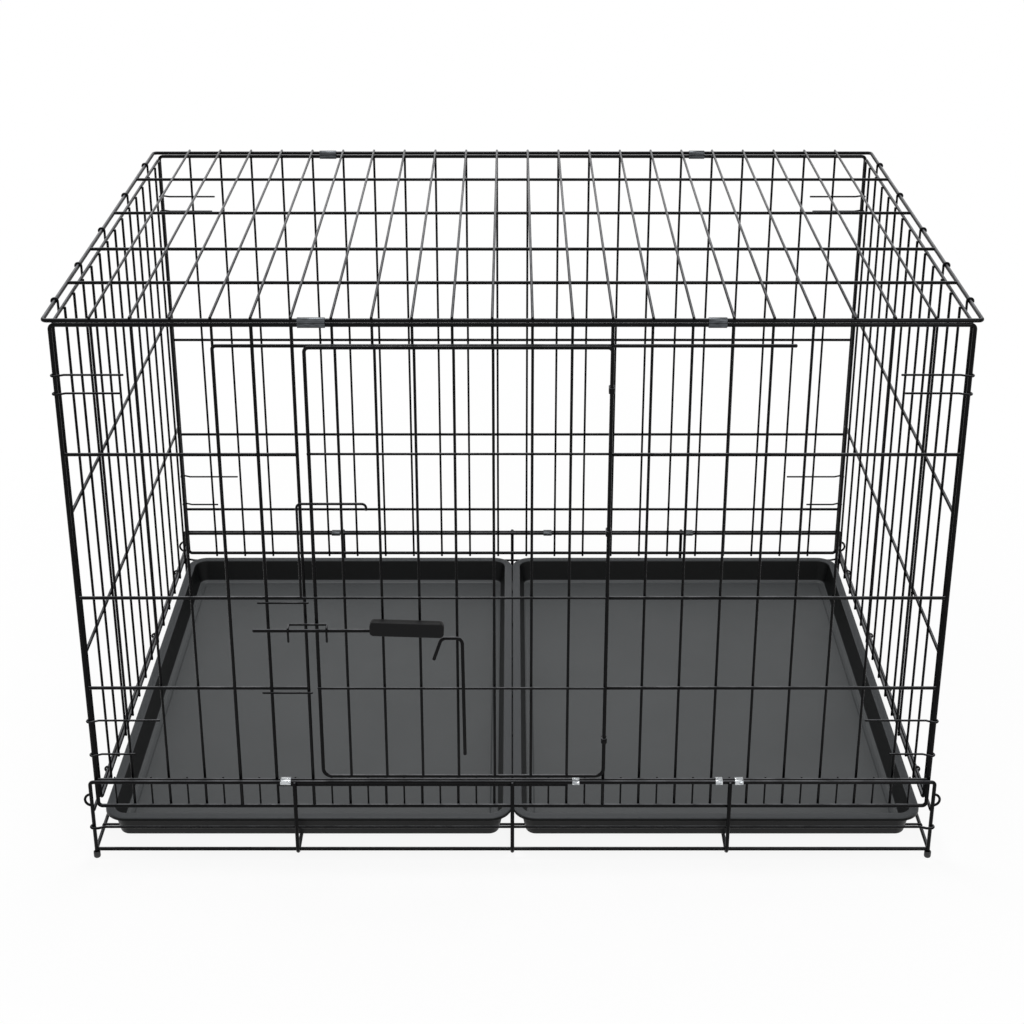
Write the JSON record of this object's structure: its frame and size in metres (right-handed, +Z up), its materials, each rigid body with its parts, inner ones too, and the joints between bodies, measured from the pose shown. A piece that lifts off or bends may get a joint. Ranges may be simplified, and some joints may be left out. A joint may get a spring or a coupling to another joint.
{
  "type": "folding wire dog crate",
  "caption": "Folding wire pet crate with a side-hung front door, slide-bolt latch, fold-in end panels, hooked roof and two pull-out floor trays.",
  "frame": {"origin": "on the floor, under the middle of the crate", "axes": "+X along the length, to the right as seen from the door; +Y from the door side to the back; +Z up"},
  "size_m": [1.2352, 0.859, 0.838],
  "materials": {
    "black_coat": "black semi-gloss coating",
    "zinc": "bright zinc plating",
    "dark_zinc": "dark zinc plating",
    "tray_plastic": "fine-grained charcoal",
    "grip_rubber": "soft matt black",
    "foot_rubber": "matt black"
  },
  "bodies": {
    "crate": {"base_front_side": "black_coat", "foot_front_left": "foot_rubber", "foot_front_right": "foot_rubber", "foot_back_left": "foot_rubber", "foot_back_right": "foot_rubber", "base_back_side": "black_coat", "base_floor": "black_coat", "base_left_rim": "black_coat", "base_right_rim": "black_coat", "base_bail_1": "black_coat", "base_bail_2": "black_coat", "base_bail_3": "black_coat", "front_left_section": "black_coat", "front_right_section": "black_coat", "front_header_section": "black_coat", "front_sill_section": "black_coat", "back_panel": "black_coat", "top_panel": "black_coat", "door_hinge_lower": "black_coat", "door_hinge_middle": "black_coat", "door_hinge_upper": "black_coat", "roof_clip_front_1": "dark_zinc", "roof_clip_front_2": "dark_zinc", "roof_clip_back_1": "dark_zinc", "roof_clip_back_2": "dark_zinc", "base_clip_front_1": "zinc", "base_clip_front_2": "zinc", "base_clip_front_3": "zinc", "base_clip_front_4": "zinc", "base_clip_back_1": "dark_zinc", "base_clip_back_2": "dark_zinc", "base_clip_back_3": "dark_zinc"},
    "door": {"front_door": "black_coat", "latch_guide": "black_coat", "latch_keeper": "black_coat", "door_stop": "black_coat"},
    "latch_bolt": {"latch_bolt": "black_coat"},
    "latch_grip": {"latch_grip": "grip_rubber"},
    "left_end": {"left_end_panel": "black_coat"},
    "right_end": {"right_end_panel": "black_coat"},
    "left_tray": {"left_tray": "tray_plastic"},
    "right_tray": {"right_tray": "tray_plastic"}
  },
  "joints": [
    {"name": "door_swing", "type": "hinge", "parent": "crate", "child": "door", "pos_m": [0.13004, -0.4148, 0.4685], "axis": [0, 0, 1], "range_deg": [0, 165]},
    {"name": "latch_slide", "type": "slide", "parent": "door", "child": "latch_bolt", "axis": [1, 0, 0], "range_m": [0, 0.075]},
    {"name": "latch_turn", "type": "hinge", "parent": "latch_bolt", "child": "latch_grip", "pos_m": [-0.1961, -0.4283, 0.3855], "axis": [1, 0, 0], "range_deg": [0, 90]},
    {"name": "left_end_fold", "type": "hinge", "parent": "crate", "child": "left_end", "pos_m": [-0.6042, 0, 0.082], "axis": [0, 1, 0], "range_deg": [0, 88]},
    {"name": "right_end_fold", "type": "hinge", "parent": "crate", "child": "right_end", "pos_m": [0.6042, 0, 0.082], "axis": [0, -1, 0], "range_deg": [0, 80]},
    {"name": "left_tray_slide", "type": "slide", "parent": "crate", "child": "left_tray", "axis": [-1, 0, 0], "range_m": [0, 0.56]},
    {"name": "right_tray_slide", "type": "slide", "parent": "crate", "child": "right_tray", "axis": [1, 0, 0], "range_m": [0, 0.56]}
  ]
}
